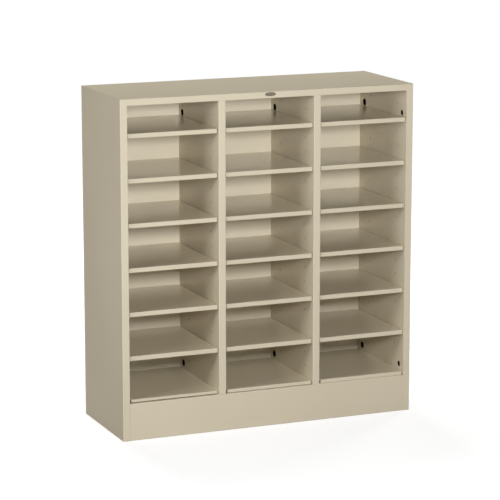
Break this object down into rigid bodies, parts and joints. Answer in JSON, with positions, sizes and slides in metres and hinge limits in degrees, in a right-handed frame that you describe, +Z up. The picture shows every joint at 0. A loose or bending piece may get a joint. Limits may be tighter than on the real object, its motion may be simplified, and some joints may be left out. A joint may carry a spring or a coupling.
{
  "type": "pigeonhole mail sorter",
  "caption": "Free-standing steel pigeonhole mail sorter: columns of adjustable pull-out shelves between hollow dividers, dished back, flush plinth.",
  "frame": {"origin": "centre of the footprint, on the floor", "axes": "+X to the right as seen from the front, +Y to the rear, +Z up; the open fronts of the pigeonholes face -Y"},
  "size_m": [0.914, 0.3379, 0.9901],
  "materials": {
    "putty_enamel": "semi-gloss baked enamel, warm putty beige, fine orange peel",
    "clip_zinc": "bright zinc plate, dulled",
    "screw_zinc": "zinc plated steel",
    "badge_metal": "dull dark grey-brown metal, blank"
  },
  "bodies": {
    "cabinet": {"left_side_panel": "putty_enamel", "left_side_liner": "putty_enamel", "right_side_panel": "putty_enamel", "right_side_liner": "putty_enamel", "top_panel": "putty_enamel", "back_panel": "putty_enamel", "kick_plate": "putty_enamel", "rear_base_rail": "putty_enamel", "base_runner_left": "putty_enamel", "base_runner_right": "putty_enamel", "divider_left": "putty_enamel", "divider_right": "putty_enamel", "bottom_shelf_left": "putty_enamel", "bottom_shelf_middle": "putty_enamel", "bottom_shelf_right": "putty_enamel", "shelf_clips_left": "clip_zinc", "shelf_clips_middle": "clip_zinc", "shelf_clips_right": "clip_zinc", "back_panel_screws": "screw_zinc", "nameplate": "badge_metal"},
    "left_shelf_1": {"left_shelf_1": "putty_enamel"},
    "left_shelf_2": {"left_shelf_2": "putty_enamel"},
    "left_shelf_3": {"left_shelf_3": "putty_enamel"},
    "left_shelf_4": {"left_shelf_4": "putty_enamel"},
    "left_shelf_5": {"left_shelf_5": "putty_enamel"},
    "left_shelf_6": {"left_shelf_6": "putty_enamel"},
    "middle_shelf_1": {"middle_shelf_1": "putty_enamel"},
    "middle_shelf_2": {"middle_shelf_2": "putty_enamel"},
    "middle_shelf_3": {"middle_shelf_3": "putty_enamel"},
    "middle_shelf_4": {"middle_shelf_4": "putty_enamel"},
    "middle_shelf_5": {"middle_shelf_5": "putty_enamel"},
    "middle_shelf_6": {"middle_shelf_6": "putty_enamel"},
    "right_shelf_1": {"right_shelf_1": "putty_enamel"},
    "right_shelf_2": {"right_shelf_2": "putty_enamel"},
    "right_shelf_3": {"right_shelf_3": "putty_enamel"},
    "right_shelf_4": {"right_shelf_4": "putty_enamel"},
    "right_shelf_5": {"right_shelf_5": "putty_enamel"},
    "right_shelf_6": {"right_shelf_6": "putty_enamel"}
  },
  "joints": [
    {"name": "left_shelf_1_slide", "type": "slide", "parent": "cabinet", "child": "left_shelf_1", "axis": [0, -1, 0], "range_m": [0, 0.245]},
    {"name": "left_shelf_2_slide", "type": "slide", "parent": "cabinet", "child": "left_shelf_2", "axis": [0, -1, 0], "range_m": [0, 0.245]},
    {"name": "left_shelf_3_slide", "type": "slide", "parent": "cabinet", "child": "left_shelf_3", "axis": [0, -1, 0], "range_m": [0, 0.245]},
    {"name": "left_shelf_4_slide", "type": "slide", "parent": "cabinet", "child": "left_shelf_4", "axis": [0, -1, 0], "range_m": [0, 0.245]},
    {"name": "left_shelf_5_slide", "type": "slide", "parent": "cabinet", "child": "left_shelf_5", "axis": [0, -1, 0], "range_m": [0, 0.245]},
    {"name": "left_shelf_6_slide", "type": "slide", "parent": "cabinet", "child": "left_shelf_6", "axis": [0, -1, 0], "range_m": [0, 0.245]},
    {"name": "middle_shelf_1_slide", "type": "slide", "parent": "cabinet", "child": "middle_shelf_1", "axis": [0, -1, 0], "range_m": [0, 0.245]},
    {"name": "middle_shelf_2_slide", "type": "slide", "parent": "cabinet", "child": "middle_shelf_2", "axis": [0, -1, 0], "range_m": [0, 0.245]},
    {"name": "middle_shelf_3_slide", "type": "slide", "parent": "cabinet", "child": "middle_shelf_3", "axis": [0, -1, 0], "range_m": [0, 0.245]},
    {"name": "middle_shelf_4_slide", "type": "slide", "parent": "cabinet", "child": "middle_shelf_4", "axis": [0, -1, 0], "range_m": [0, 0.245]},
    {"name": "middle_shelf_5_slide", "type": "slide", "parent": "cabinet", "child": "middle_shelf_5", "axis": [0, -1, 0], "range_m": [0, 0.245]},
    {"name": "middle_shelf_6_slide", "type": "slide", "parent": "cabinet", "child": "middle_shelf_6", "axis": [0, -1, 0], "range_m": [0, 0.245]},
    {"name": "right_shelf_1_slide", "type": "slide", "parent": "cabinet", "child": "right_shelf_1", "axis": [0, -1, 0], "range_m": [0, 0.245]},
    {"name": "right_shelf_2_slide", "type": "slide", "parent": "cabinet", "child": "right_shelf_2", "axis": [0, -1, 0], "range_m": [0, 0.245]},
    {"name": "right_shelf_3_slide", "type": "slide", "parent": "cabinet", "child": "right_shelf_3", "axis": [0, -1, 0], "range_m": [0, 0.245]},
    {"name": "right_shelf_4_slide", "type": "slide", "parent": "cabinet", "child": "right_shelf_4", "axis": [0, -1, 0], "range_m": [0, 0.245]},
    {"name": "right_shelf_5_slide", "type": "slide", "parent": "cabinet", "child": "right_shelf_5", "axis": [0, -1, 0], "range_m": [0, 0.245]},
    {"name": "right_shelf_6_slide", "type": "slide", "parent": "cabinet", "child": "right_shelf_6", "axis": [0, -1, 0], "range_m": [0, 0.245]}
  ]
}
